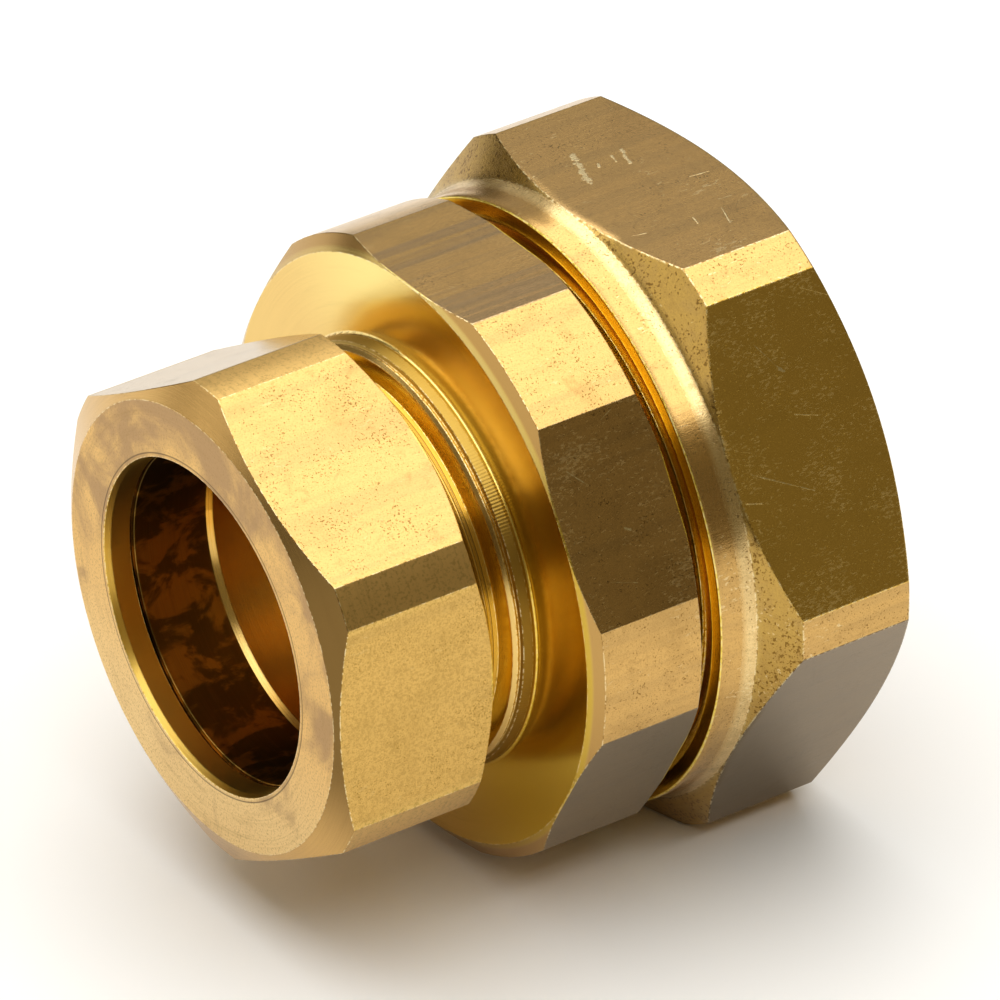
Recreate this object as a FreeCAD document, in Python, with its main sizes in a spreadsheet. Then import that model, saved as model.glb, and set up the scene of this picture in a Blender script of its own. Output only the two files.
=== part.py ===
import FreeCAD, Part
import math
import os
import Sketcher

# A straight brass pipe union: a compression joint for rigid copper pipe at one end, and a
# threaded nut with split bushings for corrugated flexible gas tube at the other.
# Everything is turned about one axis, +X, which runs from the copper pipe's nut to the
# tube's nut, and +Z is up. The origin is on that axis, halfway along the fitting.
# A station is a distance along the axis from the open face of the copper pipe's nut, and
# a radius is measured from the axis. Half flats is half of the size across the flats.

SIZES = {
    # Whole fitting
    "fitting_length": 50.0,
    "pitch": 1.5,
    # Male threads: depth, and the width of the groove at its root and at its top
    "male_depth": 0.92,
    "male_root_width": 0.375,
    "male_top_width": 1.3125,
    # Female threads: depth, the same widths, and how far their bore clears the male root
    "female_depth": 0.97,
    "female_root_width": 0.19,
    "female_top_width": 1.18,
    "female_clearance": 0.12,
    "cutter_overlap": 0.08,
    "thread_overrun": 1.3,
    "mouth_slope": 0.6,
    # Copper pipe's nut
    "nut_length": 14.8,
    "nut_half_flats": 19.52,
    "nut_corner_radius": 21.59,
    "nut_clocking": 29.55,
    "nut_face_radius": 18.96,
    "nut_rim_radius": 19.28,
    "nut_turning_radius": 23.0,
    "nut_face_slope": 0.49,
    "nut_rim_slope": 0.66,
    "nut_bore_radius": 14.08,
    "nut_bore_break": 0.15,
    "nut_bore_break_length": 0.6,
    "nut_lip_length": 2.4,
    "nut_cone_radius": 14.45,
    "nut_relief_start": 5.6,
    "nut_relief_end": 7.9,
    "nut_relief_radius": 17.55,
    "nut_mouth_radius": 17.7,
    "nut_thread_turns": 7,
    "cone_slope": 0.51,
    # Olive: the brass ring that is crushed on to the copper pipe
    "olive_station": 2.75,
    "olive_length": 6.85,
    "olive_bore_radius": 14.05,
    "olive_radius": 15.65,
    "olive_front_taper": 2.16,
    "olive_back_taper": 2.6,
    "olive_front_radius": 14.53,
    "olive_back_radius": 14.33,
    # Body: copper pipe end
    "body_station": 6.5,
    "body_length": 34.5,
    "body_rim_radius": 16.35,
    "body_rim_break": 0.8,
    "pipe_thread_radius": 17.25,
    "relief_start": 8.85,
    "relief_radius": 16.2,
    "relief_wall": 10.9,
    "collar_start": 11.35,
    "collar_front_radius": 17.5,
    "collar_break_end": 11.68,
    "collar_radius": 17.78,
    "collar_line_station": 11.95,
    "collar_line_width": 0.2,
    "collar_line_depth": 0.14,
    "collar_end_radius": 18.12,
    "collar_land": 0.45,
    "collar_fillet": 0.2,
    # Body: hexagon
    "hex_start": 13.35,
    "hex_length": 10.75,
    "hex_half_flats": 24.91,
    "hex_corner_radius": 26.28,
    "hex_turning_radius": 29.0,
    "hex_face_radius": 24.93,
    "hex_face_slope": 0.6,
    "hex_back_radius": 25.1,
    "hex_back_slope": 0.63,
    # Body: flexible tube end
    "tube_relief_length": 1.8,
    "tube_thread_start": 1.0,
    "tube_thread_slope": 0.5,
    "tube_relief_radius": 22.9,
    "tube_thread_radius": 24.0,
    "tube_rim_break": 0.9,
    # Body: inside
    "seat_radius": 16.0,
    "seat_length": 3.8,
    "socket_radius": 14.08,
    "socket_end": 17.0,
    "way_radius": 12.6,
    "way_end": 26.0,
    "throat_radius": 15.5,
    "recess_start": 29.0,
    "recess_radius": 20.2,
    "recess_break": 0.4,
    # Gasket in the recess of the body
    "gasket_inner_radius": 16.0,
    "gasket_outer_radius": 20.05,
    "gasket_thickness": 1.5,
    # Split bushings that grip the tube's corrugations
    "bushing_station": 38.0,
    "bushing_length": 6.8,
    "bushing_nose_length": 3.6,
    "bushing_nose_radius": 19.9,
    "bushing_flange_radius": 22.35,
    "bushing_back_radius": 21.1,
    "bushing_rib_radius": 17.2,
    "bushing_groove_radius": 18.6,
    "bushing_rib_width": 1.2,
    "bushing_rib_spacing": 4.5,
    "bushing_kerf": 0.6,
    "bushing_edge_break": 0.3,
    "bushing_half_turn": 180.0,
    # Ring that holds the bushings together
    "ring_groove_start": 4.0,
    "ring_groove_width": 1.1,
    "ring_groove_radius": 21.4,
    "ring_section_radius": 0.5,
    "ring_radius": 21.95,
    # Flexible tube's nut
    "tube_nut_station": 32.16,
    "tube_nut_length": 17.84,
    "tube_nut_half_flats": 26.25,
    "tube_nut_corner_radius": 29.31,
    "tube_nut_turning_radius": 30.5,
    "nose_face_radius": 25.7,
    "nose_land": 2.0,
    "nose_land_radius": 25.86,
    "nose_bend": 3.1,
    "nose_bend_radius": 26.22,
    "nose_slope": 0.74,
    "tail_face_radius": 25.6,
    "tail_slope": 0.577,
    "tube_nut_mouth_radius": 24.45,
    "tube_nut_thread_turns": 6,
    "tube_nut_relief_start": 8.3,
    "tube_nut_relief_end": 10.1,
    "tube_nut_relief_radius": 24.3,
    "chamber_radius": 22.6,
    "chamber_end": 11.6,
    "tail_bore_radius": 21.1,
    "seal_groove_start": 14.1,
    "seal_groove_end": 16.2,
    "seal_groove_radius": 22.7,
    "tail_bore_break": 0.3,
    # Seal against the tube's plastic jacket, in the tail of the nut
    "seal_station": 46.31,
    "seal_width": 2.0,
    "seal_outer_radius": 22.6,
    "seal_inner_radius": 20.8,
    "seal_lip_width": 0.8,
}


class Size:
    """A number from the sheet, or worked out from it, with the expression that gives it."""

    def __init__(self, value, text):
        self.value = value
        self.text = text

    def __add__(self, other):
        return Size(self.value + other.value, f"({self.text} + {other.text})")

    def __sub__(self, other):
        return Size(self.value - other.value, f"({self.text} - {other.text})")

    def __mul__(self, other):
        if isinstance(other, Size):
            return Size(self.value * other.value, f"({self.text} * {other.text})")
        return Size(self.value * other, f"({self.text} * {other:.12g})")


def size(alias):
    return Size(SIZES[alias], f"Sizes.{alias}")


ZERO = Size(0.0, "0")

# --- Drawing and machining steps that the pieces share ---


def write_sheet(doc):
    sheet = doc.addObject("Spreadsheet::Sheet", "Sizes")
    for row, (alias, value) in enumerate(SIZES.items(), 1):
        sheet.set(f"A{row}", alias.replace("_", " "))
        sheet.set(f"B{row}", str(value))
        sheet.setAlias(f"B{row}", alias)
    doc.recompute()


def new_piece(doc, label, station):
    """A body whose own x = 0 is at a station of the fitting."""
    body = doc.addObject("PartDesign::Body", label)
    body.Label = label
    middle = size("fitting_length") * 0.5
    body.setExpression("Placement.Base.x", (station - middle).text)
    return body


def new_sketch(body, name, role):
    sketch = body.newObject("Sketcher::SketchObject", name)
    plane = next(plane for plane in body.Origin.OriginFeatures if plane.Role == role)
    sketch.AttachmentSupport = [(plane, "")]
    sketch.MapMode = "FlatFace"
    return sketch


def bind(sketch, kind, where, length):
    """Add a dimension to a sketch and tie it to the sheet."""
    number = sketch.addConstraint(Sketcher.Constraint(kind, *where, length.value))
    sketch.setExpression(f"Constraints[{number}]", length.text)


def draw_outline(sketch, corners):
    """A closed outline of straight lines. Each corner is a pair of sizes."""
    points = [FreeCAD.Vector(across.value, up.value, 0) for across, up in corners]
    for start, end in zip(points, points[1:] + points[:1]):
        sketch.addGeometry(Part.LineSegment(start, end), False)
    for line, (across, up) in enumerate(corners):
        previous = (line - 1) % len(corners)
        sketch.addConstraint(Sketcher.Constraint("Coincident", previous, 2, line, 1))
        bind(sketch, "DistanceX", (-1, 1, line, 1), across)
        bind(sketch, "DistanceY", (-1, 1, line, 1), up)


def draw_circle(sketch, across, up, radius):
    centre = FreeCAD.Vector(across.value, up.value, 0)
    sketch.addGeometry(Part.Circle(centre, FreeCAD.Vector(0, 0, 1), radius.value), False)
    bind(sketch, "DistanceX", (-1, 1, 0, 3), across)
    bind(sketch, "DistanceY", (-1, 1, 0, 3), up)
    bind(sketch, "Radius", (0,), radius)


def finish_step(body, step, grows):
    """Recompute, and stop if a machining step changed nothing or went the wrong way."""
    before = step.BaseFeature.Shape.Volume if step.BaseFeature else 0.0
    body.Document.recompute()
    change = step.Shape.Volume - before
    if step.Shape.isNull() or (change <= 0 if grows else change >= 0):
        raise RuntimeError(f"{body.Label}.{step.Name} changed the volume by {change:.3f}")


def turn(body, name, sketch, kind="Groove"):
    """Revolve a profile about the fitting's axis: a Revolution adds, a Groove cuts."""
    step = body.newObject(f"PartDesign::{kind}", name)
    step.Profile = sketch
    step.ReferenceAxis = (sketch, ["H_Axis"])
    step.Angle = 360
    finish_step(body, step, kind == "Revolution")


def turn_outline(body, name, corners, kind="Groove"):
    sketch = new_sketch(body, f"{name}_profile", "XY_Plane")
    draw_outline(sketch, corners)
    turn(body, name, sketch, kind)


def hexagon_bar(body, name, start, length, half_flats, clocking=None):
    """Hexagonal bar with one of its flats facing up."""
    sketch = new_sketch(body, f"{name}_section", "YZ_Plane")
    corners = []
    for side in range(6):
        direction = math.radians(60 * side)
        reach = half_flats * (2 / math.sqrt(3))
        corners.append((reach * math.cos(direction), reach * math.sin(direction)))
    draw_outline(sketch, corners)
    sketch.setExpression("AttachmentOffset.Base.z", start.text)
    if clocking:
        sketch.setExpression("AttachmentOffset.Rotation.Angle", clocking.text)
    step = body.newObject("PartDesign::Pad", name)
    step.Profile = sketch
    step.setExpression("Length", length.text)
    finish_step(body, step, True)


def cut_thread(body, name, centre, length, top_radius, root_radius, widths, towards_start):
    """Cut a right-hand screw thread, from a relief groove out past the end of the piece."""
    top_width, root_width = widths
    sketch = new_sketch(body, f"{name}_profile", "XY_Plane")
    draw_outline(sketch, [
        (centre - top_width * 0.5, top_radius),
        (centre - root_width * 0.5, root_radius),
        (centre + root_width * 0.5, root_radius),
        (centre + top_width * 0.5, top_radius),
    ])
    step = body.newObject("PartDesign::SubtractiveHelix", name)
    step.Profile = sketch
    step.ReferenceAxis = (sketch, ["H_Axis"])
    step.Mode = "pitch-height-angle"
    step.setExpression("Pitch", size("pitch").text)
    step.setExpression("Height", length.text)
    step.Angle = 0
    step.LeftHanded = False
    step.Reversed = towards_start
    finish_step(body, step, False)


def cut_male_thread(body, name, centre, length, radius, towards_start):
    top = size("male_top_width") + size("cutter_overlap")
    cut_thread(body, name, centre, length, radius + size("cutter_overlap"),
               radius - size("male_depth"), (top, size("male_root_width")), towards_start)


def female_bore(male_radius):
    """The radius of a nut's threaded bore, for a male thread of a given outer radius."""
    return male_radius - size("male_depth") + size("female_clearance")


def cut_female_thread(body, name, centre, length, male_radius, towards_start):
    bore = female_bore(male_radius)
    top = size("female_top_width") + size("cutter_overlap")
    cut_thread(body, name, centre, length, bore - size("cutter_overlap"),
               bore + size("female_depth"), (top, size("female_root_width")), towards_start)


def fillet_ring(body, name, radius, across, amount):
    """Round the circular edge that has a given radius and place along the axis."""
    near = 0.001
    base = body.Tip
    names = []
    for number, edge in enumerate(base.Shape.Edges, 1):
        if not isinstance(edge.Curve, Part.Circle):
            continue
        off_radius = abs(edge.Curve.Radius - radius.value)
        off_place = abs(edge.Curve.Center.x - across.value)
        if off_radius < near and off_place < near:
            names.append(f"Edge{number}")
    step = body.newObject("PartDesign::Fillet", name)
    step.Base = (base, names)
    step.setExpression("Radius", amount.text)
    body.Document.recompute()


# --- The pieces ---


def thread_phase():
    """From the body's thread groove to the nuts', so that ridges lie in grooves."""
    return size("pitch") * 0.5


def make_compression_nut(doc):
    """The nut that pushes the olive on to the copper pipe. x = 0 is its open face."""
    body = new_piece(doc, "compression_nut", ZERO)
    length = size("nut_length")
    hexagon_bar(body, "bar", ZERO, length, size("nut_half_flats"), size("nut_clocking"))
    corner = size("nut_corner_radius")
    face = size("nut_face_radius")
    rim = size("nut_rim_radius")
    outside = size("nut_turning_radius")
    turn_outline(body, "turned_corners", [
        (ZERO, face),
        ((corner - face) * size("nut_face_slope"), corner),
        (length - (corner - rim) * size("nut_rim_slope"), corner),
        (length, rim),
        (length, outside),
        (ZERO, outside),
    ])
    bore = size("nut_bore_radius")
    lip = size("nut_lip_length")
    cone = size("nut_cone_radius")
    relief_start = size("nut_relief_start")
    thread = female_bore(size("pipe_thread_radius"))
    mouth = size("nut_mouth_radius")
    turn_outline(body, "bore", [
        (ZERO, ZERO),
        (ZERO, bore + size("nut_bore_break")),
        (size("nut_bore_break_length"), bore),
        (lip, bore),
        (lip, cone),
        (relief_start, cone + (relief_start - lip) * size("cone_slope")),
        (relief_start, size("nut_relief_radius")),
        (size("nut_relief_end"), size("nut_relief_radius")),
        (size("nut_relief_end"), thread),
        (length - (mouth - thread) * size("mouth_slope"), thread),
        (length, mouth),
        (length, ZERO),
    ])
    groove = size("body_station") + pipe_thread_start()
    start = groove - size("pitch") * size("nut_thread_turns") + thread_phase()
    cut_female_thread(body, "thread", start, length - start + size("thread_overrun"),
                      size("pipe_thread_radius"), False)


def make_olive(doc):
    """The barrel-shaped brass ring that is crushed between the nut and the body."""
    body = new_piece(doc, "olive", size("olive_station"))
    length = size("olive_length")
    bore = size("olive_bore_radius")
    turn_outline(body, "ring", [
        (ZERO, bore),
        (ZERO, size("olive_front_radius")),
        (size("olive_front_taper"), size("olive_radius")),
        (length - size("olive_back_taper"), size("olive_radius")),
        (length, size("olive_back_radius")),
        (length, bore),
    ], "Revolution")


def make_body(doc):
    """The body, with a male thread at each end of its hexagon. x = 0 is its pipe end."""
    body = new_piece(doc, "body", size("body_station"))
    turn_body_outside(body)
    turn_body_inside(body)
    cut_body_threads(body)


def turn_body_outside(body):
    length = size("body_length")
    pipe_thread = size("pipe_thread_radius")
    tube_thread = size("tube_thread_radius")
    tube_relief = size("tube_relief_radius")
    hex_start = size("hex_start")
    hex_end = hex_start + size("hex_length")
    relief_end = hex_end + size("tube_relief_length")
    line = size("collar_line_station")
    line_width = size("collar_line_width")
    line_radius = size("collar_radius") - size("collar_line_depth")
    turn_outline(body, "blank", [
        (ZERO, ZERO),
        (ZERO, size("body_rim_radius")),
        (size("body_rim_break"), pipe_thread),
        (size("relief_start"), pipe_thread),
        (size("relief_start"), size("relief_radius")),
        (size("relief_wall"), size("relief_radius")),
        (size("collar_start"), size("collar_front_radius")),
        (size("collar_break_end"), size("collar_radius")),
        (line - line_width, size("collar_radius")),
        (line, line_radius),
        (line + line_width, size("collar_radius") + size("collar_line_depth")),
        (hex_start - size("collar_land"), size("collar_end_radius")),
        (hex_start, size("collar_end_radius")),
        (hex_start, tube_relief),
        (relief_end, tube_relief),
        (relief_end + (tube_thread - tube_relief) * size("tube_thread_slope"), tube_thread),
        (length - size("tube_rim_break"), tube_thread),
        (length, tube_thread - size("tube_rim_break")),
        (length, ZERO),
    ], "Revolution")
    hexagon_bar(body, "hexagon", hex_start, size("hex_length"), size("hex_half_flats"))
    corner = size("hex_corner_radius")
    face = size("hex_face_radius")
    back = size("hex_back_radius")
    outside = size("hex_turning_radius")
    turn_outline(body, "turned_corners", [
        (hex_start, face),
        (hex_start + (corner - face) * size("hex_face_slope"), corner),
        (hex_end - (corner - back) * size("hex_back_slope"), corner),
        (hex_end, back),
        (hex_end, outside),
        (hex_start, outside),
    ])
    fillet_ring(body, "collar_fillet", size("collar_end_radius"), hex_start,
                size("collar_fillet"))


def turn_body_inside(body):
    length = size("body_length")
    socket = size("socket_radius")
    recess = size("recess_radius")
    turn_outline(body, "bore", [
        (ZERO, ZERO),
        (ZERO, size("seat_radius")),
        (size("seat_length"), socket),
        (size("socket_end"), socket),
        (size("socket_end"), size("way_radius")),
        (size("way_end"), size("way_radius")),
        (size("recess_start"), size("throat_radius")),
        (size("recess_start"), recess),
        (length - size("recess_break"), recess),
        (length, recess + size("recess_break")),
        (length, ZERO),
    ])


def cut_body_threads(body):
    overrun = size("thread_overrun")
    centre = pipe_thread_start()
    cut_male_thread(body, "pipe_thread", centre, centre + overrun,
                    size("pipe_thread_radius"), True)
    centre = tube_thread_start()
    cut_male_thread(body, "tube_thread", centre, size("body_length") - centre + overrun,
                    size("tube_thread_radius"), False)


def pipe_thread_start():
    """Where the pipe end's thread groove begins, in the relief beside the collar."""
    return size("relief_start") + (size("male_top_width") + size("cutter_overlap")) * 0.5


def tube_thread_start():
    """Where the tube end's thread groove begins, in the relief beside the hexagon."""
    hex_end = size("hex_start") + size("hex_length")
    return hex_end + size("tube_thread_start")


def make_gasket(doc):
    """The flat graphite washer that the tube's crushed end seals against."""
    station = size("body_station") + size("recess_start")
    body = new_piece(doc, "flare_gasket", station)
    inner = size("gasket_inner_radius")
    outer = size("gasket_outer_radius")
    thickness = size("gasket_thickness")
    turn_outline(body, "washer", [
        (ZERO, inner),
        (ZERO, outer),
        (thickness, outer),
        (thickness, inner),
    ], "Revolution")


def make_bushing_half(doc, label, turned_over):
    """Half of the ribbed ring that grips the tube. x = 0 is the end of its nose."""
    body = new_piece(doc, label, size("bushing_station"))
    if turned_over:
        body.Placement.Rotation = FreeCAD.Rotation(FreeCAD.Vector(1, 0, 0), 90)
        body.setExpression("Placement.Rotation.Angle", size("bushing_half_turn").text)
    length = size("bushing_length")
    nose = size("bushing_nose_radius")
    nose_length = size("bushing_nose_length")
    flange = size("bushing_flange_radius")
    back = size("bushing_back_radius")
    rib = size("bushing_rib_radius")
    valley = size("bushing_groove_radius")
    rib_width = size("bushing_rib_width")
    spacing = size("bushing_rib_spacing")
    slope = size("bushing_edge_break")
    ring_start = size("ring_groove_start")
    ring_end = ring_start + size("ring_groove_width")
    ring_depth = size("ring_groove_radius")
    turn_outline(body, "ring", [
        (ZERO, rib),
        (ZERO, nose - slope),
        (slope, nose),
        (nose_length, nose),
        (nose_length, flange),
        (ring_start, flange),
        (ring_start, ring_depth),
        (ring_end, ring_depth),
        (ring_end, flange),
        (length - (flange - back), flange),
        (length, back),
        (length, valley),
        (spacing + rib_width + slope, valley),
        (spacing + rib_width, rib),
        (spacing, rib),
        (spacing - slope, valley),
        (rib_width + slope, valley),
        (rib_width, rib),
    ], "Revolution")
    sketch = new_sketch(body, "saw_cut_section", "YZ_Plane")
    beyond = flange + size("bushing_kerf")
    kept_from = size("bushing_kerf") * 0.5
    below = ZERO - beyond
    draw_outline(sketch, [
        (below, below),
        (kept_from, below),
        (kept_from, beyond),
        (below, beyond),
    ])
    step = body.newObject("PartDesign::Pocket", "saw_cut")
    step.Profile = sketch
    step.Type = "ThroughAll"
    step.Reversed = True
    finish_step(body, step, False)


def make_retaining_ring(doc):
    """The rubber ring that holds the two bushings together while they are handled."""
    middle = size("ring_groove_start") + size("ring_groove_width") * 0.5
    body = new_piece(doc, "bushing_retaining_ring", size("bushing_station"))
    sketch = new_sketch(body, "cord_section", "XY_Plane")
    draw_circle(sketch, middle, size("ring_radius"), size("ring_section_radius"))
    turn(body, "ring", sketch, "Revolution")


def make_tube_nut(doc):
    """The nut that drives the bushings home. x = 0 is the face towards the body."""
    body = new_piece(doc, "flex_tube_nut", size("tube_nut_station"))
    length = size("tube_nut_length")
    hexagon_bar(body, "bar", ZERO, length, size("tube_nut_half_flats"))
    corner = size("tube_nut_corner_radius")
    outside = size("tube_nut_turning_radius")
    bend = size("nose_bend")
    bend_radius = size("nose_bend_radius")
    tail = size("tail_face_radius")
    turn_outline(body, "turned_corners", [
        (ZERO, size("nose_face_radius")),
        (size("nose_land"), size("nose_land_radius")),
        (bend, bend_radius),
        (bend + (corner - bend_radius) * size("nose_slope"), corner),
        (length - (corner - tail) * size("tail_slope"), corner),
        (length, tail),
        (length, outside),
        (ZERO, outside),
    ])
    thread = female_bore(size("tube_thread_radius"))
    mouth = size("tube_nut_mouth_radius")
    relief_radius = size("tube_nut_relief_radius")
    chamber = size("chamber_radius")
    chamber_end = size("chamber_end")
    tail_bore = size("tail_bore_radius")
    seal_groove = size("seal_groove_radius")
    edge_break = size("tail_bore_break")
    turn_outline(body, "bore", [
        (ZERO, ZERO),
        (ZERO, mouth),
        ((mouth - thread) * size("mouth_slope"), thread),
        (size("tube_nut_relief_start"), thread),
        (size("tube_nut_relief_start"), relief_radius),
        (size("tube_nut_relief_end"), relief_radius),
        (size("tube_nut_relief_end"), chamber),
        (chamber_end, chamber),
        (chamber_end + chamber - tail_bore, tail_bore),
        (size("seal_groove_start"), tail_bore),
        (size("seal_groove_start"), seal_groove),
        (size("seal_groove_end"), seal_groove),
        (size("seal_groove_end"), tail_bore),
        (length - edge_break, tail_bore),
        (length, tail_bore + edge_break),
        (length, ZERO),
    ])
    groove = size("body_station") + tube_thread_start() - size("tube_nut_station")
    start = groove + size("pitch") * size("tube_nut_thread_turns") + thread_phase()
    cut_female_thread(body, "thread", start, start + size("thread_overrun"),
                      size("tube_thread_radius"), True)


def make_jacket_seal(doc):
    """The rubber ring that closes the gap between the nut and the tube's jacket."""
    body = new_piece(doc, "jacket_seal", size("seal_station"))
    width = size("seal_width")
    outer = size("seal_outer_radius")
    inner = size("seal_inner_radius")
    lip = size("seal_lip_width")
    slope = (width - lip) * 0.5
    turn_outline(body, "ring", [
        (ZERO, outer),
        (width, outer),
        (width, inner + slope),
        (width - slope, inner),
        (slope, inner),
        (ZERO, inner + slope),
    ], "Revolution")


def check_and_write(doc):
    """Stop on any failed object, then write each piece to its own file."""
    failed = [item.Name for item in doc.Objects if {"Invalid", "Error"} & set(item.State)]
    if failed:
        raise RuntimeError(f"failed objects: {failed}")
    os.makedirs("parts", exist_ok=True)
    for piece in doc.findObjects("PartDesign::Body"):
        shape = piece.Shape
        if shape.isNull() or not shape.isValid() or len(shape.Solids) != 1:
            raise RuntimeError(f"{piece.Label} is not one valid solid")
        shape.exportStep(os.path.join("parts", f"{piece.Label}.step"))
        box = shape.BoundBox
        print(f"{piece.Label}: {shape.Volume:.1f} mm3, x {box.XMin:.2f} to {box.XMax:.2f}")


def main():
    doc = FreeCAD.newDocument("PipeUnion")
    write_sheet(doc)
    make_body(doc)
    make_compression_nut(doc)
    make_olive(doc)
    make_gasket(doc)
    make_bushing_half(doc, "split_bushing_left", False)
    make_bushing_half(doc, "split_bushing_right", True)
    make_retaining_ring(doc)
    make_tube_nut(doc)
    make_jacket_seal(doc)
    doc.recompute()
    check_and_write(doc)


main()
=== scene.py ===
import math

import bpy
from mathutils import Matrix, Vector


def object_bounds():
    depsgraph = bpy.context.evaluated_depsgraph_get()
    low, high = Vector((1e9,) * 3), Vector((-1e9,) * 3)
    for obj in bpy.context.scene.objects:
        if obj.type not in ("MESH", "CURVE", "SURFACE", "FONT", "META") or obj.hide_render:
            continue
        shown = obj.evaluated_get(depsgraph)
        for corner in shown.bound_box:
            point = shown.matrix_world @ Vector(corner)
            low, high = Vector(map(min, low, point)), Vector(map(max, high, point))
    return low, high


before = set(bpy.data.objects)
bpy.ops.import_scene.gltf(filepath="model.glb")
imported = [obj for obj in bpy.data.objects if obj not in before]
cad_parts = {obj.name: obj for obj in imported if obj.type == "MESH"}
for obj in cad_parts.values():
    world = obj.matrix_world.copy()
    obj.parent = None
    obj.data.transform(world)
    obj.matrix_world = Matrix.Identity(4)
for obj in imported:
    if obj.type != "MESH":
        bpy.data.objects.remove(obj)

# The fitting's axis is +X, from the copper pipe's nut to the flexible tube's nut.
# Every material reads the object's own coordinates, so its marks stay on the metal when
# a nut is screwed off. Inside the materials, lengths are in millimetres: x is 0 halfway
# along the fitting, and a radius is measured from its axis. Angles go round that axis from
# the top, and sides of the hexagons are named by the turn in degrees, towards -Y.

MM_PER_M = 1000.0

cad_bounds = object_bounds()
scene = bpy.context.scene


# --- Camera -------------------------------------------------------------------------

# The camera was fitted to the rims and corners of the object in the photograph.
CAMERA_TARGET = Vector((0.00321, -0.00068, 0.00195))
CAMERA_DISTANCE = 0.82099
CAMERA_AZIMUTH = math.radians(33.908)
CAMERA_ELEVATION = math.radians(32.216)
CAMERA_ROLL = math.radians(-0.901)
CAMERA_LENS = 368.87


def make_camera():
    forward = Vector((
        math.sin(CAMERA_AZIMUTH) * math.cos(CAMERA_ELEVATION),
        math.cos(CAMERA_AZIMUTH) * math.cos(CAMERA_ELEVATION),
        -math.sin(CAMERA_ELEVATION),
    ))
    camera = bpy.data.objects.new("camera", bpy.data.cameras.new("camera"))
    scene.collection.objects.link(camera)
    turn = forward.to_track_quat("-Z", "Y").to_matrix().to_4x4()
    turn = turn @ Matrix.Rotation(CAMERA_ROLL, 4, "Z")
    camera.matrix_world = Matrix.Translation(CAMERA_TARGET - forward * CAMERA_DISTANCE) @ turn
    camera.data.lens = CAMERA_LENS
    camera.data.sensor_width = 36
    camera.data.clip_start = 0.05
    camera.data.clip_end = 20
    scene.camera = camera


# --- Node helpers -------------------------------------------------------------------


class Graph:
    """A short way to write a material's nodes."""

    def __init__(self, name):
        self.material = bpy.data.materials.new(name)
        self.material.use_nodes = True
        self.tree = self.material.node_tree
        self.tree.nodes.clear()

    def node(self, kind, inputs=None, **settings):
        node = self.tree.nodes.new(kind)
        for key, value in settings.items():
            setattr(node, key, value)
        for key, value in (inputs or {}).items():
            self.feed(node.inputs[key], value)
        return node

    def feed(self, socket, value):
        if isinstance(value, bpy.types.NodeSocket):
            self.tree.links.new(value, socket)
        elif value is not None:
            socket.default_value = value

    def math(self, operation, first, second=None, third=None):
        node = self.node("ShaderNodeMath", operation=operation)
        for socket, value in zip(node.inputs, (first, second, third)):
            self.feed(socket, value)
        return node.outputs[0]

    def product(self, *values):
        result = values[0]
        for value in values[1:]:
            result = self.math("MULTIPLY", result, value)
        return result

    def most(self, *values):
        result = values[0]
        for value in values[1:]:
            result = self.math("MAXIMUM", result, value)
        return result

    def invert(self, value):
        return self.math("SUBTRACT", 1.0, value)

    def span(self, value, low, high, to_low=0.0, to_high=1.0, smooth=True):
        """Map a value from one range to another, and keep it inside the new one."""
        node = self.node("ShaderNodeMapRange", clamp=True)
        node.interpolation_type = "SMOOTHSTEP" if smooth else "LINEAR"
        for key, number in zip(("Value", "From Min", "From Max", "To Min", "To Max"),
                               (value, low, high, to_low, to_high)):
            self.feed(node.inputs[key], number)
        return node.outputs[0]

    def between(self, value, low, high, soft):
        """1 from low to high, and 0 beyond, with soft ends."""
        rise = self.span(value, low - soft, low + soft)
        fall = self.span(value, high - soft, high + soft, 1.0, 0.0)
        return self.math("MULTIPLY", rise, fall)

    def vector(self, x, y, z):
        return self.node("ShaderNodeCombineXYZ", {"X": x, "Y": y, "Z": z}).outputs[0]

    def stretch(self, vector, scale, turn=(0.0, 0.0, 0.0)):
        node = self.node("ShaderNodeMapping", {
            "Vector": vector, "Scale": scale, "Rotation": turn,
        })
        return node.outputs[0]

    def noise(self, vector, scale, detail=2.0, roughness=0.5, distortion=0.0):
        node = self.node("ShaderNodeTexNoise", {
            "Vector": vector, "Scale": scale, "Detail": detail,
            "Roughness": roughness, "Distortion": distortion,
        })
        return node.outputs["Fac"]

    def mix(self, factor, first, second):
        node = self.node("ShaderNodeMix", data_type="RGBA")
        self.feed(node.inputs[0], factor)
        self.feed(node.inputs[6], first)
        self.feed(node.inputs[7], second)
        return node.outputs[2]


# The rounding of every sharp edge, in metres. The larger nut's edges are rounder.
EDGE_RADIUS = 0.00015
TUBE_NUT_EDGE_RADIUS = 0.00022
NOSE_RADIUS = 0.0012

# How well the rounded normal matches the sharp one, on a flat place and on an edge.
FLAT_MATCH = 0.998
EDGE_MATCH = 0.985


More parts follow.
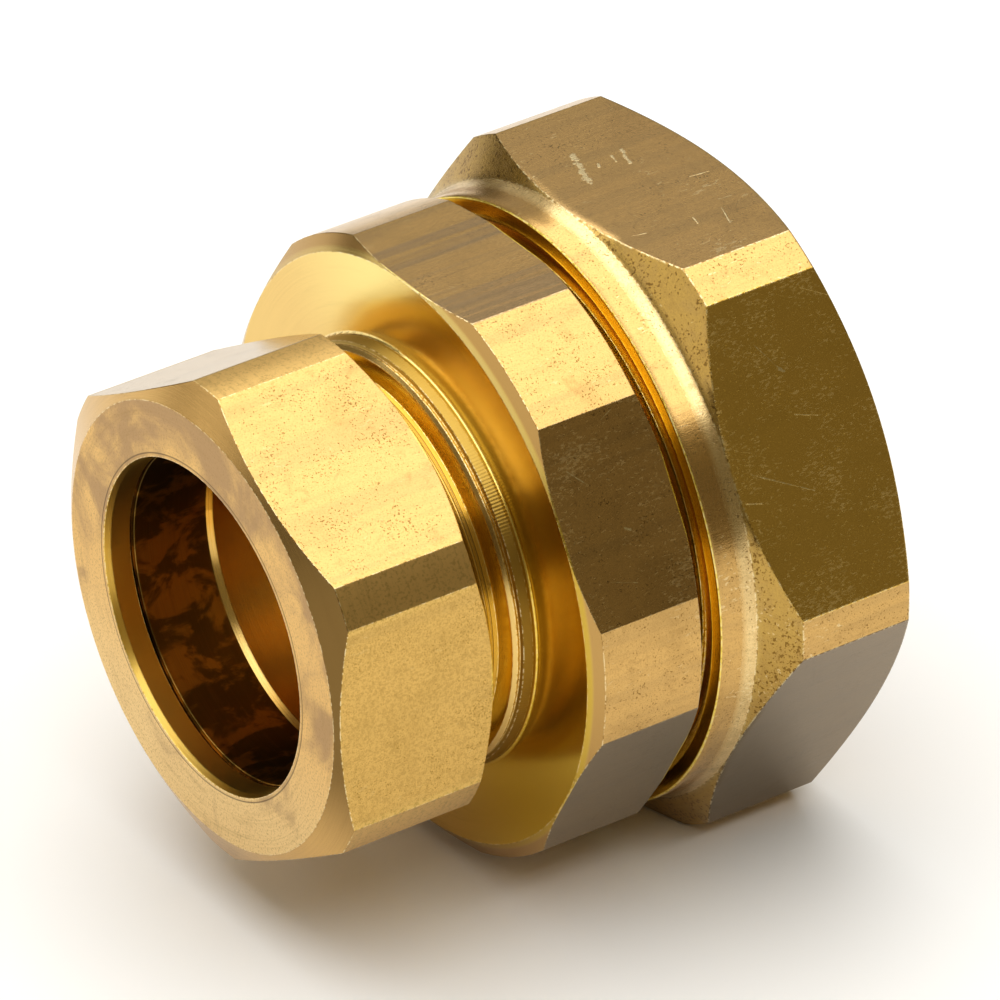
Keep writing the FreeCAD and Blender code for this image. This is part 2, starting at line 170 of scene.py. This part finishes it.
class Surface(Graph):
    """A material built up from layers of colour, roughness and relief."""

    def __init__(self, name, color, roughness, half_flats=None, edge_radius=EDGE_RADIUS):
        super().__init__(name)
        self.half_flats = half_flats
        coords = self.node("ShaderNodeTexCoord")
        self.place = self.stretch(coords.outputs["Object"], (MM_PER_M, MM_PER_M, MM_PER_M))
        parts = self.node("ShaderNodeSeparateXYZ", {"Vector": self.place})
        self.x, self.y, self.z = parts.outputs
        square = self.math("MULTIPLY", self.y, self.y)
        square = self.math("MULTIPLY_ADD", self.z, self.z, square)
        self.radius = self.math("SQRT", square)
        normal = self.node("ShaderNodeSeparateXYZ", {"Vector": coords.outputs["Normal"]})
        self.axial = self.math("ABSOLUTE", normal.outputs["X"])
        outward = self.math("MULTIPLY", self.y, normal.outputs["Y"])
        outward = self.math("MULTIPLY_ADD", self.z, normal.outputs["Z"], outward)
        outward = self.math("DIVIDE", outward, self.radius)
        self.outside = self.span(outward, 0.05, 0.25)
        self.inside = self.span(outward, -0.05, -0.25)
        self.angle = self.math("ARCTAN2", self.y, self.z)
        self.lathe = self.vector(self.x, self.radius, 0.0)
        self.color = color
        self.roughness = roughness
        self.height = 0.0
        self.rounded = self.node("ShaderNodeBevel", {"Radius": edge_radius}, samples=6).outputs[0]
        sharp = self.node("ShaderNodeNewGeometry").outputs["Normal"]
        match = self.node("ShaderNodeVectorMath", {0: self.rounded, 1: sharp},
                          operation="DOT_PRODUCT").outputs["Value"]
        self.edges = self.span(match, FLAT_MATCH, EDGE_MATCH)

    def tint(self, mask, color):
        self.color = self.mix(mask, self.color, color)

    def dull(self, mask, amount):
        self.roughness = self.math("MULTIPLY_ADD", mask, amount, self.roughness)

    def raise_by(self, mask, amount):
        """Add relief. The amount is in millimetres, and is negative for a dent."""
        self.height = self.math("MULTIPLY_ADD", mask, amount, self.height)

    def specks(self, scale, share):
        """Irregular specks, which gather in patches."""
        fine = self.noise(self.place, scale, 1.0, 0.5)
        patch = self.noise(self.place, 0.30, 3.0, 0.6)
        amount = self.math("MULTIPLY_ADD", patch, 0.45, fine)
        return self.span(amount, 1.0 - share, 1.06 - share)

    def flecks(self, scale, share):
        """Short light scuffs, which gather in patches."""
        fine = self.noise(self.stretch(self.place, (0.5, 1.2, 1.2)), scale, 2.0, 0.6, 0.8)
        patch = self.noise(self.place, 0.22, 2.0, 0.5)
        amount = self.math("MULTIPLY_ADD", patch, 0.5, fine)
        return self.span(amount, 1.08 - share, 1.12 - share)

    def facing(self, turn):
        """The same place, turned so that the hexagon's side at this turn faces +Z."""
        flat = self.stretch(self.place, (1.0, 1.0, 1.0), (-math.radians(turn), 0.0, 0.0))
        return self.node("ShaderNodeSeparateXYZ", {"Vector": flat}).outputs

    def facet(self, turn):
        """1 on the flat side of the hexagon at this turn, and 0 on the rest."""
        return self.span(self.facing(turn)["Z"], self.half_flats - 0.05, self.half_flats - 0.02)

    def scratches(self, turn, lines):
        """Scratches on one side of a hexagon: from (x, across) to (x, across), and a width."""
        x, across = self.facing(turn)[:2]
        ragged = self.noise(self.place, 1.6, 2.0, 0.6)
        marks = 0.0
        for start, end, width in lines:
            reach = Vector((end[0] - start[0], end[1] - start[1], 0.0))
            point = self.vector(self.math("SUBTRACT", x, start[0]),
                                self.math("SUBTRACT", across, start[1]), 0.0)
            along = self.node("ShaderNodeVectorMath", {0: point, 1: reach},
                              operation="DOT_PRODUCT").outputs["Value"]
            share = self.span(along, 0.0, reach.length_squared, smooth=False)
            nearest = self.vector(self.product(share, reach.x), self.product(share, reach.y), 0.0)
            gap = self.node("ShaderNodeVectorMath", {0: point, 1: nearest}, operation="DISTANCE")
            half = self.span(ragged, 0.38, 0.62, width * 0.25, width * 0.6)
            inside = self.math("SUBTRACT", half, gap.outputs["Value"])
            marks = self.most(marks, self.span(inside, 0.0, width * 0.3))
        return self.product(marks, self.facet(turn))

    def round_over(self, mask, radius):
        """Where the mask is 1, edges are rounded to another radius, given in metres."""
        soft = self.node("ShaderNodeBevel", {"Radius": radius}, samples=8).outputs[0]
        blend = self.node("ShaderNodeMix", data_type="VECTOR")
        self.feed(blend.inputs[0], mask)
        self.feed(blend.inputs[4], self.rounded)
        self.feed(blend.inputs[5], soft)
        self.rounded = blend.outputs[1]

    def finish(self, metallic=1.0, **sockets):
        inputs = {
            "Base Color": self.color,
            "Roughness": self.span(self.roughness, 0.03, 1.0, 0.03, 1.0, smooth=False),
            "Metallic": metallic,
        }
        inputs.update({key.replace("_", " "): value for key, value in sockets.items()})
        bump = self.node("ShaderNodeBump", {
            "Height": self.height, "Distance": 0.001, "Normal": self.rounded,
        })
        inputs["Normal"] = bump.outputs[0]
        shader = self.node("ShaderNodeBsdfPrincipled", inputs)
        output = self.node("ShaderNodeOutputMaterial")
        self.feed(output.inputs["Surface"], shader.outputs[0])
        return self.material


def dress(node, material):
    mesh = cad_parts[node].data
    mesh.materials.clear()
    mesh.materials.append(material)


# --- Brass --------------------------------------------------------------------------

# Half of the size across the flats of each hexagon, and how far the smaller nut is turned.
NUT_HALF_FLATS = 19.52
NUT_CLOCKING = 29.55
BODY_HALF_FLATS = 24.91
TUBE_NUT_HALF_FLATS = 26.25

# The sides of the body's and the larger nut's hexagons that have marks of their own.
# The lower side is darkened with painted shade, and the larger nut's front side is tinted
# a deeper gold as a painted reflection.
TOP_SIDE = 0.0
FRONT_SIDE = 60.0
LOWER_SIDE = 120.0

# Colours from clean metal to dark stains.
BRASS = (0.64, 0.41, 0.155, 1.0)
POLISHED = (0.77, 0.54, 0.20, 1.0)
MIRROR = (0.95, 0.74, 0.15, 1.0)
GOLD = (0.80, 0.57, 0.08, 1.0)
WARM_REFLECTION_GOLD = (0.82, 0.54, 0.11, 1.0)
LIP_GOLD = (0.95, 0.68, 0.17, 1.0)
PALE_GOLD = (0.95, 0.78, 0.30, 1.0)
BRIGHT = (0.93, 0.80, 0.50, 1.0)
PALE_TAN = (0.80, 0.60, 0.30, 1.0)
TAN = (0.72, 0.46, 0.17, 1.0)
BUSHING_BRASS = (0.66, 0.40, 0.12, 1.0)
LIGHT_TARNISH = (0.40, 0.27, 0.12, 1.0)
TARNISH = (0.34, 0.21, 0.075, 1.0)
BROWN_TARNISH = (0.33, 0.205, 0.105, 1.0)
GREY_TINT = (0.38, 0.29, 0.17, 1.0)
GREY_BAND = (0.33, 0.25, 0.17, 1.0)
CONE_BROWN = (0.47, 0.32, 0.08, 1.0)
COLLAR_BROWN = (0.42, 0.28, 0.06, 1.0)
COLLAR_SHADE = (0.24, 0.13, 0.015, 1.0)
SHADED_UNDERSIDE_GREY = (0.20, 0.165, 0.115, 1.0)
DARK_SHADED_UNDERSIDE_GREY = (0.18, 0.14, 0.09, 1.0)
BROWN_SKIN_AND_SHADE = (0.17, 0.105, 0.035, 1.0)
PIT = (0.20, 0.11, 0.025, 1.0)
OXIDE = (0.06, 0.035, 0.01, 1.0)
OLIVE_OXIDE = (0.20, 0.135, 0.035, 1.0)
OLIVE_STAIN = (0.66, 0.40, 0.10, 1.0)

BRASS_ROUGHNESS = 0.2


def add_drawn_skin(metal, flats, scuffs):
    """The skin of drawn bar: faint lines along the axis, specks, smudges and stains."""
    lines = metal.noise(metal.stretch(metal.place, (0.04, 1.0, 1.0)), 3.0, 3.0, 0.6)
    bands = metal.noise(metal.stretch(metal.place, (0.03, 1.0, 1.0)), 0.45, 3.0, 0.6)
    grain = metal.noise(metal.place, 7.0, 3.0, 0.65)
    smudge = metal.noise(metal.place, 0.55, 5.0, 0.68, 0.6)
    stain = metal.noise(metal.place, 0.15, 4.0, 0.6, 0.5)
    specks = metal.product(metal.specks(6.0, 0.11), flats)
    metal.tint(metal.product(metal.span(lines, 0.45, 0.75), flats, 0.12), TARNISH)
    metal.tint(metal.product(metal.span(bands, 0.46, 0.66), flats, 0.30), LIGHT_TARNISH)
    metal.tint(metal.product(metal.span(smudge, 0.53, 0.74), flats, 0.40), TARNISH)
    metal.tint(metal.product(metal.span(stain, 0.50, 0.70), flats, 0.25), TARNISH)
    metal.tint(metal.product(metal.span(grain, 0.46, 0.72), flats, 0.45), TARNISH)
    metal.tint(metal.product(specks, 0.75), PIT)
    metal.tint(metal.product(metal.flecks(2.2, 0.13), flats, scuffs), BRIGHT)
    metal.dull(metal.product(metal.span(smudge, 0.5, 0.75), flats), 0.04)
    metal.raise_by(metal.product(lines, flats), 0.006)
    metal.raise_by(metal.product(grain, flats), 0.004)
    metal.raise_by(specks, -0.003)


def add_turned_skin(metal, turned, strength):
    """The fine rings that a lathe tool leaves, smeared here and there."""
    rings = metal.noise(metal.lathe, 6.0, 3.0, 0.7)
    around = metal.vector(metal.x, metal.radius, metal.product(metal.angle, 2.0))
    smear = metal.noise(around, 1.2, 3.0, 0.6)
    metal.tint(metal.product(metal.span(rings, 0.45, 0.75), turned, 0.35 * strength), TARNISH)
    metal.tint(metal.product(metal.span(smear, 0.50, 0.75), turned, 0.30 * strength), TARNISH)
    metal.raise_by(metal.product(rings, turned), 0.006 * strength)


def add_bore_skin(metal):
    """Inside a bore the brass is stained with cutting oil and oxide."""
    rings = metal.noise(metal.vector(metal.x, 0.0, 0.0), 5.0, 3.0, 0.7)
    grime = metal.noise(metal.stretch(metal.place, (0.4, 1.0, 1.0)), 0.45, 4.0, 0.6, 0.5)
    metal.tint(metal.inside, POLISHED)
    metal.tint(metal.product(metal.span(rings, 0.4, 0.7), metal.inside, 0.3), TARNISH)
    metal.tint(metal.product(metal.span(grime, 0.65, 0.80), metal.inside, 0.8), OXIDE)
    metal.raise_by(metal.product(rings, metal.inside), 0.008)


def add_worn_edges(metal):
    """Sharp edges are rubbed bright, with dark nicks."""
    nicks = metal.noise(metal.place, 2.6, 3.0, 0.65)
    metal.tint(metal.product(metal.edges, metal.span(nicks, 0.46, 0.58), 0.7), BRIGHT)
    metal.tint(metal.product(metal.edges, metal.span(nicks, 0.45, 0.37), 0.7), PIT)


def add_fine_flecks(metal, side, share, tint, dull):
    """Fine bright flecks on one dark side of a hexagon."""
    flecks = metal.product(metal.flecks(4.5, share), metal.facet(side))
    metal.tint(metal.product(flecks, tint), BRIGHT)
    metal.dull(flecks, dull)


# --- The copper pipe's nut ----------------------------------------------------------

# Where zones fade in: along the axis, or over a radius. All in millimetres.
NUT_BACK = (-10.6, -10.3)
NUT_LIP = (-22.5, -22.7)
NUT_CORNER_RADII = (21.3, 21.5)
BORE_RIM_RADII = (14.5, 14.62)

# The part of the nut's bevel, as an angle in radians, that is darkened brown: partly a brown
# stain, partly painted shade.
NUT_BEVEL_STAIN_AND_SHADE = (-2.0, -0.3)


def add_end_tarnish(metal, end):
    """The open end has gone dull and tan, and is darkest at the top."""
    patch = metal.noise(metal.place, 0.14, 4.0, 0.6, 0.6)
    patch = metal.math("MULTIPLY_ADD", metal.z, 0.006, patch)
    fine = metal.noise(metal.place, 5.0, 3.0, 0.7)
    rim = metal.between(metal.radius, *BORE_RIM_RADII, 0.04)
    metal.tint(end, TAN)
    metal.tint(metal.product(metal.span(metal.z, 0.0, -15.0), end, 0.7), PALE_TAN)
    metal.tint(metal.product(metal.span(patch, 0.42, 0.66), end, 0.75), BROWN_TARNISH)
    metal.tint(metal.product(metal.span(fine, 0.50, 0.66), end, 0.6), TARNISH)
    metal.tint(metal.product(rim, end, 0.7), OXIDE)
    metal.raise_by(metal.product(fine, end), 0.012)
    metal.dull(end, 0.10)


def make_nut_brass():
    metal = Surface("nut_brass", BRASS, BRASS_ROUGHNESS, NUT_HALF_FLATS)
    lengthwise = metal.span(metal.axial, 0.5, 0.2)
    corner = metal.product(metal.span(metal.radius, *NUT_CORNER_RADII), lengthwise)
    end = metal.span(metal.axial, 0.94, 0.97)
    bevel = metal.product(metal.between(metal.axial, 0.5, 0.94, 0.02), metal.outside)
    flats = metal.product(metal.outside, metal.invert(metal.most(corner, end, bevel)))
    add_drawn_skin(metal, flats, scuffs=0.1)
    add_end_tarnish(metal, end)
    add_turned_skin(metal, metal.most(end, bevel, metal.product(corner, metal.outside)), 1.0)
    mottle = metal.noise(metal.place, 3.5, 3.0, 0.7)
    metal.tint(metal.product(metal.span(mottle, 0.50, 0.64), corner, 0.55), PIT)
    metal.tint(metal.product(metal.span(metal.x, *NUT_BACK), 0.7), MIRROR)
    metal.tint(metal.product(corner, 0.4), POLISHED)
    metal.dull(corner, 0.12)
    # Partly a brown stain, partly painted shade: the bevel is darkened on the side towards -Y.
    stained = metal.between(metal.angle, *NUT_BEVEL_STAIN_AND_SHADE, 0.3)
    metal.tint(metal.product(bevel, stained, 0.9), BROWN_SKIN_AND_SHADE)
    add_bore_skin(metal)
    lip = metal.product(metal.span(metal.x, *NUT_LIP), metal.inside)
    metal.tint(metal.product(lip, 0.8), LIP_GOLD)
    metal.dull(lip, 0.10)
    # Painted reflection: the upper side is greyed and dimmed, for its pale grazing reflection.
    upper_side = metal.facet(NUT_CLOCKING - 60.0)
    metal.tint(metal.product(upper_side, 0.5), GREY_TINT)
    lower_side = metal.facet(NUT_CLOCKING + 60.0)
    metal.tint(metal.product(metal.span(mottle, 0.44, 0.60), lower_side, 0.35), TARNISH)
    metal.tint(metal.product(lower_side, 0.15), GOLD)
    add_worn_edges(metal)
    return metal.finish()


# --- The body -----------------------------------------------------------------------

# Zones along the body's axis, in millimetres. The face is the end of the hexagon.
BODY_PIPE_END = (-17.8, -18.1)
BODY_NECK = (-10.6, -4.9)
BODY_GROOVE = (-9.8, -7.7)
BODY_WALL = (-8.0, -7.2)
BODY_COLLAR = (-6.5, -5.35)
BODY_FACE = (-5.4, -5.2)
BODY_HEXAGON = (-5.0, 5.6)
BODY_GAP = (5.5, 7.6)
BODY_CHAMFER_RADII = (24.7, 25.0)

# Parts of the face and collar, as angles in radians. Towards -Y the face is tinted a deeper
# gold as a painted reflection and the collar is darkened with painted shade, and the top of
# the face is pale, a painted highlight.
FACE_SIDE = (-2.7, -0.45)
FACE_TOP = (-0.9, 0.5)
COLLAR_SIDE = (-3.0, -1.0)

# How many chatter marks go round the whole collar.
CHATTER_MARKS = 400.0

# A few small scratches on the front side.
BODY_SCRATCHES = [((-3.0, 4.5), (-1.6, 3.0), 0.10), ((1.2, 7.4), (2.3, 7.9), 0.10),
                  ((0.4, -1.2), (0.9, -1.5), 0.22), ((-2.2, -4.8), (0.1, -5.6), 0.08)]


def add_body_sides(metal):
    """The sides of the hexagon that the camera sees each have a skin of their own; the lower one
    has painted shade.
    """
    top_side = metal.facet(TOP_SIDE)
    metal.tint(metal.product(top_side, 0.25), GREY_TINT)
    # Painted shade: the lower side is darkened and greyed, as if it reflects the shadowed floor
    # beneath it.
    metal.tint(metal.product(metal.facet(LOWER_SIDE), 0.80), SHADED_UNDERSIDE_GREY)
    bands = metal.noise(metal.stretch(metal.place, (0.03, 1.0, 1.0)), 0.30, 3.0, 0.65)
    metal.tint(metal.product(metal.span(bands, 0.44, 0.56), top_side, 0.5), GREY_BAND)
    add_fine_flecks(metal, FRONT_SIDE, share=0.22, tint=0.2, dull=0.08)
    metal.tint(metal.product(metal.scratches(FRONT_SIDE, BODY_SCRATCHES), 0.7), BRIGHT)


def add_neck(metal, neck):
    """The neck is polished, with tool cuts round its groove."""
    metal.tint(neck, POLISHED)
    add_turned_skin(metal, neck, 0.5)
    wall = metal.product(metal.between(metal.x, *BODY_WALL, 0.05),
                         metal.span(metal.axial, 0.6, 0.9))
    metal.tint(wall, MIRROR)
    groove = metal.product(metal.between(metal.x, *BODY_GROOVE, 0.05), metal.outside)
    cuts = metal.noise(metal.vector(metal.x, 0.0, 0.0), 3.5, 2.0, 0.6)
    metal.tint(metal.product(metal.span(cuts, 0.46, 0.58), groove, 0.75), BROWN_SKIN_AND_SHADE)
    metal.raise_by(metal.product(cuts, groove), 0.05)


def add_face(metal, neck):
    """The turned face of the hexagon, with a painted highlight at its top and a painted
    reflection towards -Y, and the tarnished chamfer round it.
    """
    face = metal.product(neck, metal.span(metal.x, *BODY_FACE))
    # Painted light: the face is deeper gold towards -Y, a painted reflection, and pale at the
    # top, a painted highlight.
    metal.tint(metal.product(face, metal.between(metal.angle, *FACE_SIDE, 0.4)), GOLD)
    top = metal.between(metal.angle, *FACE_TOP, 0.4)
    metal.tint(metal.product(face, top, 0.8), PALE_GOLD)
    chamfer = metal.product(metal.between(metal.axial, 0.8, 0.92, 0.02),
                            metal.span(metal.radius, *BODY_CHAMFER_RADII))
    metal.tint(metal.product(chamfer, 0.5), TARNISH)


def add_collar(metal):
    """The collar is duller, and the tool has chattered over parts of it. Painted shade darkens it
    towards -Y.
    """
    collar = metal.product(metal.between(metal.x, *BODY_COLLAR, 0.05), metal.outside)
    chatter = metal.math("SINE", metal.product(metal.angle, CHATTER_MARKS))
    patchy = metal.span(metal.noise(metal.place, 0.12, 1.0), 0.40, 0.55)
    metal.raise_by(metal.product(chatter, collar, patchy), 0.005)
    metal.tint(metal.product(collar, 0.8), COLLAR_BROWN)
    # Painted shade: the collar is darkened on the side towards -Y.
    shaded = metal.between(metal.angle, *COLLAR_SIDE, 0.4)
    metal.tint(metal.product(collar, shaded, 0.75), COLLAR_SHADE)
    metal.dull(collar, 0.18)


def make_body_brass():
    metal = Surface("body_brass", BRASS, BRASS_ROUGHNESS, BODY_HALF_FLATS)
    hexagon = metal.between(metal.x, *BODY_HEXAGON, 0.05)
    flats = metal.product(metal.outside, hexagon, metal.span(metal.axial, 0.6, 0.3))
    neck = metal.product(metal.between(metal.x, *BODY_NECK, 0.1), metal.invert(flats))
    add_drawn_skin(metal, flats, scuffs=0.15)
    add_body_sides(metal)
    metal.tint(metal.product(metal.between(metal.x, *BODY_GAP, 0.05), metal.outside), MIRROR)
    add_neck(metal, neck)
    metal.tint(metal.product(metal.span(metal.x, *BODY_PIPE_END), 0.85), TARNISH)
    add_face(metal, neck)
    add_collar(metal)
    add_bore_skin(metal)
    add_worn_edges(metal)
    return metal.finish()


# --- The flexible tube's nut --------------------------------------------------------

# Zones along the nut's axis, in millimetres, from the nose's end face to the hexagon.
NOSE_FACE = (7.3, 7.2)
NOSE_BAND = (7.0, 9.16)
NOSE_BLEND = (9.3, 10.3)
NOSE_END = (11.6, 11.2)
NOSE_RADII = (25.6, 26.9)

# Scratches on the top and front sides.
TOP_SCRATCHES = [((15.6, 6.5), (14.2, 2.3), 0.80), ((19.3, 5.0), (18.6, 2.9), 0.50),
                 ((18.1, 4.7), (17.9, 3.8), 0.30), ((16.5, 4.3), (16.3, 3.8), 0.35),
                 ((21.3, -1.6), (23.0, -1.8), 0.15), ((20.5, -7.1), (19.7, -9.4), 0.18),
                 ((17.8, -7.0), (17.6, -7.9), 0.20), ((12.2, -6.5), (13.4, -6.8), 0.12)]
FRONT_SCRATCHES = [((15.6, 8.9), (17.4, 6.1), 0.10), ((17.2, 6.4), (17.5, 6.1), 0.35),
                   ((12.0, -0.7), (17.0, -3.6), 0.12), ((17.3, 2.6), (19.3, 1.9), 0.10),
                   ((10.7, -2.7), (12.1, -3.1), 0.12), ((21.1, 11.9), (23.5, 10.5), 0.08)]


def add_tube_nut_sides(metal):
    """The sides of the hexagon that the camera sees each have a skin of their own; the lower one
    has painted shade and the front one a painted reflection.
    """
    metal.tint(metal.product(metal.facet(TOP_SIDE), 0.25), GREY_TINT)
    # Painted shade: the lower side is darkened and greyed, as if it reflects the shadowed floor
    # beneath it.
    metal.tint(metal.product(metal.facet(LOWER_SIDE), 0.88), DARK_SHADED_UNDERSIDE_GREY)
    # Painted reflection: the front side is tinted a deeper gold, for the warm surroundings it
    # reflects.
    metal.tint(metal.product(metal.facet(FRONT_SIDE), 0.7), WARM_REFLECTION_GOLD)


def add_tube_nut_scratches(metal):
    add_fine_flecks(metal, FRONT_SIDE, share=0.235, tint=0.25, dull=0.09)
    marks = metal.most(metal.scratches(TOP_SIDE, TOP_SCRATCHES),
                       metal.scratches(FRONT_SIDE, FRONT_SCRATCHES))
    metal.tint(metal.product(marks, 0.65), BRIGHT)
    metal.raise_by(marks, 0.006)


def make_tube_nut_brass():
    metal = Surface("tube_nut_brass", BRASS, BRASS_ROUGHNESS, TUBE_NUT_HALF_FLATS,
                    TUBE_NUT_EDGE_RADIUS)
    band = metal.product(metal.between(metal.x, *NOSE_BAND, 0.05), metal.outside)
    blend = metal.product(metal.between(metal.x, *NOSE_BLEND, 0.35), metal.outside)
    cone = metal.product(metal.span(metal.axial, 0.6, 0.7), metal.outside)
    flats = metal.product(metal.outside, metal.invert(metal.most(band, blend, cone)))
    nose = metal.product(metal.between(metal.radius, *NOSE_RADII, 0.2),
                         metal.span(metal.x, *NOSE_END))
    metal.round_over(nose, NOSE_RADIUS)
    # Painted highlight: the blend between the nose's two cones is painted pale, for the soft
    # white highlight it catches.
    metal.tint(blend, PALE_TAN)
    metal.tint(metal.product(cone, 0.70), CONE_BROWN)
    add_drawn_skin(metal, metal.most(flats, band, blend, cone), scuffs=0.35)
    metal.tint(metal.product(metal.specks(3.2, 0.16), cone, 0.8), PIT)
    add_tube_nut_sides(metal)
    metal.tint(metal.span(metal.x, *NOSE_FACE), MIRROR)
    tail = metal.span(metal.axial, 0.9, 0.95)
    add_turned_skin(metal, metal.most(metal.product(cone, 0.6), tail), 1.0)
    add_tube_nut_scratches(metal)
    add_bore_skin(metal)
    add_worn_edges(metal)
    return metal.finish()


# --- The olive and the bushings -----------------------------------------------------


def make_olive_brass():
    """The olive is nearly black with oxide, and stained orange."""
    metal = Surface("olive_brass", OLIVE_OXIDE, 0.28)
    stain = metal.noise(metal.stretch(metal.place, (0.7, 1.0, 1.0)), 0.35, 4.0, 0.6, 0.4)
    metal.tint(metal.product(metal.span(stain, 0.46, 0.58), 0.8), OLIVE_STAIN)
    add_turned_skin(metal, 1.0, 1.0)
    return metal.finish()


def make_bushing_brass():
    metal = Surface("bushing_brass", BUSHING_BRASS, 0.25)
    add_turned_skin(metal, 1.0, 1.0)
    return metal.finish()


# --- Rubber and graphite ------------------------------------------------------------

GRAPHITE = (0.045, 0.046, 0.05, 1.0)
GRAPHITE_DUST = (0.12, 0.12, 0.13, 1.0)
BLACK_RUBBER = (0.012, 0.012, 0.013, 1.0)
BLACK_DUST = (0.04, 0.04, 0.04, 1.0)
GREY_RUBBER = (0.10, 0.10, 0.105, 1.0)
GREY_DUST = (0.2, 0.2, 0.2, 1.0)


def make_soft(name, color, light, roughness):
    """A dense matt material with a fine grain and a little dust."""
    soft = Surface(name, color, roughness)
    grain = soft.noise(soft.place, 9.0, 3.0, 0.6)
    dust = soft.noise(soft.place, 0.9, 4.0, 0.65)
    soft.tint(soft.product(soft.span(dust, 0.45, 0.75), 0.5), light)
    soft.tint(soft.product(soft.span(grain, 0.5, 0.8), 0.3), light)
    soft.dull(soft.span(grain, 0.3, 0.7), 0.1)
    soft.raise_by(grain, 0.01)
    return soft.finish(metallic=0.0)


# --- Stage and light ----------------------------------------------------------------

# The floor is this far below the lowest point, in metres.
FLOOR_DROP = 0.0002
FLOOR_HALF_SIZE = 4.0
FLOOR_WHITE = (0.94, 0.94, 0.94, 1.0)

WORLD_COLOR = (1.0, 0.88, 0.60, 1.0)
WORLD_STRENGTH = 0.19
WHITE = (1.0, 1.0, 1.0)
COOL_WHITE = (0.95, 0.97, 1.0)


def make_floor():
    floor_z = cad_bounds[0][2] - FLOOR_DROP
    mesh = bpy.data.meshes.new("floor")
    corners = [(x * FLOOR_HALF_SIZE, y * FLOOR_HALF_SIZE, floor_z)
               for x, y in ((-1, -1), (1, -1), (1, 1), (-1, 1))]
    mesh.from_pydata(corners, [], [(0, 1, 2, 3)])
    floor = bpy.data.objects.new("floor", mesh)
    scene.collection.objects.link(floor)
    graph = Graph("floor_white")
    shader = graph.node("ShaderNodeBsdfPrincipled", {
        "Base Color": FLOOR_WHITE, "Roughness": 0.9,
    })
    output = graph.node("ShaderNodeOutputMaterial")
    graph.feed(output.inputs["Surface"], shader.outputs[0])
    mesh.materials.append(graph.material)


def make_area(name, place, target, size, radiance, color=WHITE):
    """A soft box, whose power comes from how bright its surface looks."""
    width, height = size
    light = bpy.data.objects.new(name, bpy.data.lights.new(name, "AREA"))
    light.data.shape = "RECTANGLE"
    light.data.color = color
    light.data.size = width
    light.data.size_y = height
    light.data.energy = radiance * math.pi * width * height
    scene.collection.objects.link(light)
    way = Vector(target) - Vector(place)
    turn = way.to_track_quat("-Z", "Y").to_matrix().to_4x4()
    light.matrix_world = Matrix.Translation(place) @ turn


def make_world():
    world = bpy.data.worlds.new("studio")
    world.use_nodes = True
    background = world.node_tree.nodes["Background"]
    background.inputs["Color"].default_value = WORLD_COLOR
    background.inputs["Strength"].default_value = WORLD_STRENGTH
    scene.world = world


def make_lights():
    make_area("overhead", (0.05, 0.05, 1.0), (0.05, 0.05, 0.0), (1.45, 2.1), 1.75)
    make_area("back_panel", (0.8, 1.6, 1.0), (0.0, 0.0, 0.1), (2.4, 1.2), 0.28, COOL_WHITE)
    make_area("left_panel", (-1.25, 0.55, 0.50), (0.0, 0.0, 0.1), (2.0, 0.9), 0.80)


# --- Making -------------------------------------------------------------------------

make_camera()
dress("compression_nut", make_nut_brass())
dress("body", make_body_brass())
dress("flex_tube_nut", make_tube_nut_brass())
dress("olive", make_olive_brass())
bushing_brass = make_bushing_brass()
dress("split_bushing_left", bushing_brass)
dress("split_bushing_right", bushing_brass)
dress("flare_gasket", make_soft("graphite", GRAPHITE, GRAPHITE_DUST, 0.5))
dress("bushing_retaining_ring", make_soft("black_rubber", BLACK_RUBBER, BLACK_DUST, 0.6))
dress("jacket_seal", make_soft("grey_rubber", GREY_RUBBER, GREY_DUST, 0.6))
make_floor()
make_world()
make_lights()
scene.view_settings.view_transform = "Standard"
scene.view_settings.look = "Medium High Contrast"
